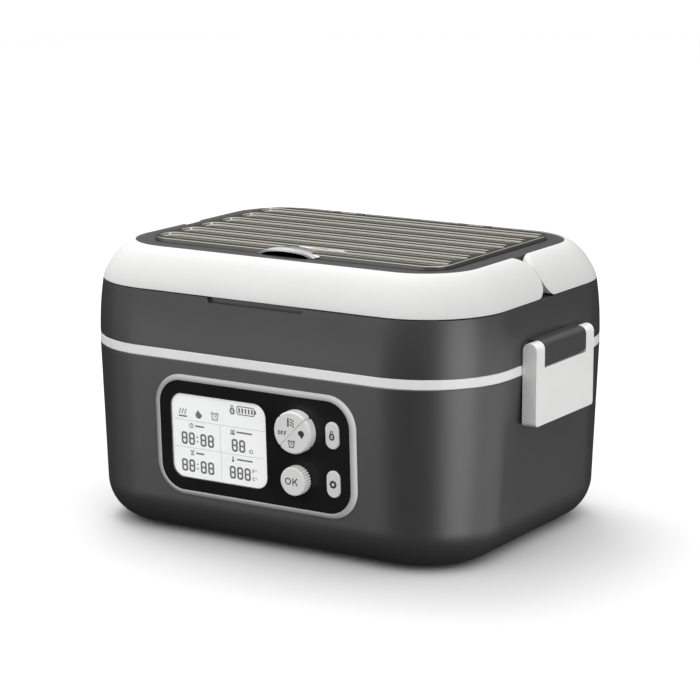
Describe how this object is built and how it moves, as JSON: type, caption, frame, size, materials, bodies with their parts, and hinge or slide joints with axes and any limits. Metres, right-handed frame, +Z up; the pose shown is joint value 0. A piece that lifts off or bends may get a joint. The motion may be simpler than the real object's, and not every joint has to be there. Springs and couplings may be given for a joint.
{
  "type": "electric lunch box",
  "caption": "Battery-heated lunch box: display and knob panel, lift-off lid with side latches and a fold-up carry handle, steel pot in a heated well, cutlery bay under a ribbed cover.",
  "frame": {"origin": "floor level, under the middle of the body seen from above", "axes": "+Z up, +X to the right of the control panel seen from the front, +Y to the rear"},
  "size_m": [0.2568, 0.1909, 0.1532],
  "materials": {
    "shell": "satin moulding",
    "foot_rubber": "matte",
    "band": "satin",
    "well_sheet": "drawn sheet",
    "heater": "etched film",
    "ceramic": "matte",
    "holder": "moulded",
    "cell_can": "sleeved can",
    "circuit": "solder mask",
    "inlet": "moulded",
    "wire": "insulated",
    "keeper": "satin",
    "panel_frame": "semi gloss",
    "fascia": "gloss",
    "lens": "clear",
    "display": "display glass",
    "backlight": "diffuser",
    "switch_body": "moulded",
    "screw_steel": "plated",
    "contact_brass": "turned",
    "knob": "satin paint",
    "button": "satin paint",
    "pot_steel": "drawn sheet",
    "silicone": "translucent",
    "liner": "satin",
    "gasket": "soft",
    "top_panel": "satin",
    "ring": "semi gloss",
    "lug": "satin",
    "latch": "semi gloss",
    "ribs": "metallic paint",
    "hood": "satin plating"
  },
  "bodies": {
    "base": {"base_shell": "shell", "bottom_cover": "shell", "rubber_feet": "foot_rubber", "bottom_screws": "screw_steel", "collar_band": "band", "collar_screws": "screw_steel", "heating_well": "well_sheet", "well_screws": "screw_steel", "heater_film": "heater", "heat_shield": "well_sheet", "temperature_sensor": "ceramic", "thermal_fuse": "ceramic", "battery_holder": "holder", "battery_cells": "cell_can", "cell_tabs": "screw_steel", "battery_board": "circuit", "charge_inlet": "inlet", "wire_harness": "wire", "latch_keepers": "keeper", "panel_bezel": "panel_frame", "panel_fascia": "fascia", "display_lens": "lens", "display_module": "display", "display_backlight": "backlight", "control_board": "circuit", "board_screws": "screw_steel", "rotary_switch": "switch_body", "encoder_body": "switch_body", "tact_switches": "switch_body"},
    "lid": {"lid_shell": "shell", "lid_liner": "liner", "liner_screws": "screw_steel", "lid_gasket": "gasket", "top_panel": "top_panel", "rear_trim": "ring", "trim_screws": "screw_steel", "handle_pins": "screw_steel", "latch_lugs": "lug", "lug_screws": "screw_steel", "latch_pins": "screw_steel", "cover_pins": "screw_steel"},
    "pot": {"inner_pot": "pot_steel"},
    "pot_cover": {"pot_lid": "pot_steel", "pot_seal": "silicone"},
    "vent": {"vent_plug": "silicone"},
    "latch_right": {"right_latch": "latch"},
    "latch_left": {"left_latch": "latch"},
    "handle": {"carry_handle": "ring"},
    "cover": {"ribbed_cover": "ribs", "finger_hood": "hood"},
    "selector": {"selector_knob": "knob", "selector_shaft": "screw_steel"},
    "ok_push": {"encoder_plunger": "contact_brass"},
    "ok_dial": {"ok_knob": "knob", "encoder_shaft": "screw_steel"},
    "lock_key": {"lock_button": "button"},
    "settings_key": {"settings_button": "button"}
  },
  "joints": [
    {"name": "lid_lift", "type": "slide", "parent": "base", "child": "lid", "axis": [0, 0, 1], "range_m": [0, 0.16]},
    {"name": "pot_lift", "type": "slide", "parent": "base", "child": "pot", "axis": [0, 0, 1], "range_m": [0, 0.08]},
    {"name": "pot_lid_lift", "type": "slide", "parent": "pot", "child": "pot_cover", "axis": [0, 0, 1], "range_m": [0, 0.048]},
    {"name": "vent_lift", "type": "slide", "parent": "pot_cover", "child": "vent", "axis": [0, 0, 1], "range_m": [0, 0.0048]},
    {"name": "right_latch_swing", "type": "hinge", "parent": "lid", "child": "latch_right", "pos_m": [0.1244, 0, 0.1078], "axis": [0, -1, 0], "range_deg": [0, 100]},
    {"name": "left_latch_swing", "type": "hinge", "parent": "lid", "child": "latch_left", "pos_m": [-0.1244, 0, 0.1078], "axis": [0, 1, 0], "range_deg": [0, 100]},
    {"name": "handle_swing", "type": "hinge", "parent": "lid", "child": "handle", "pos_m": [0.101, -0.0102, 0.1393], "axis": [-1, 0, 0], "range_deg": [0, 90]},
    {"name": "cover_swing", "type": "hinge", "parent": "lid", "child": "cover", "pos_m": [0.04, 0.0632, 0.149], "axis": [-1, 0, 0], "range_deg": [0, 100]},
    {"name": "selector_turn", "type": "hinge", "parent": "base", "child": "selector", "pos_m": [0.0273, -0.09294, 0.06779], "axis": [0, -0.9989, -0.0463], "range_deg": [0, 270]},
    {"name": "ok_press", "type": "slide", "parent": "base", "child": "ok_push", "axis": [0, 0.9989, 0.0463], "range_m": [0, 0.0005], "stiffness_N_per_m": 3000},
    {"name": "ok_turn", "type": "hinge", "parent": "ok_push", "child": "ok_dial", "pos_m": [0.0273, -0.08319, 0.04312], "axis": [0, -0.9989, -0.0463], "continuous": true},
    {"name": "lock_press", "type": "slide", "parent": "base", "child": "lock_key", "axis": [0, 0.9989, 0.0463], "range_m": [0, 0.0005], "stiffness_N_per_m": 3000},
    {"name": "settings_press", "type": "slide", "parent": "base", "child": "settings_key", "axis": [0, 0.9989, 0.0463], "range_m": [0, 0.0005], "stiffness_N_per_m": 3000}
  ],
  "couplings": [
    {"joint": "pot_lift", "follows": "lid_lift", "ratio": 0.5},
    {"joint": "pot_lid_lift", "follows": "lid_lift", "ratio": 0.3},
    {"joint": "vent_lift", "follows": "lid_lift", "ratio": 0.03}
  ]
}
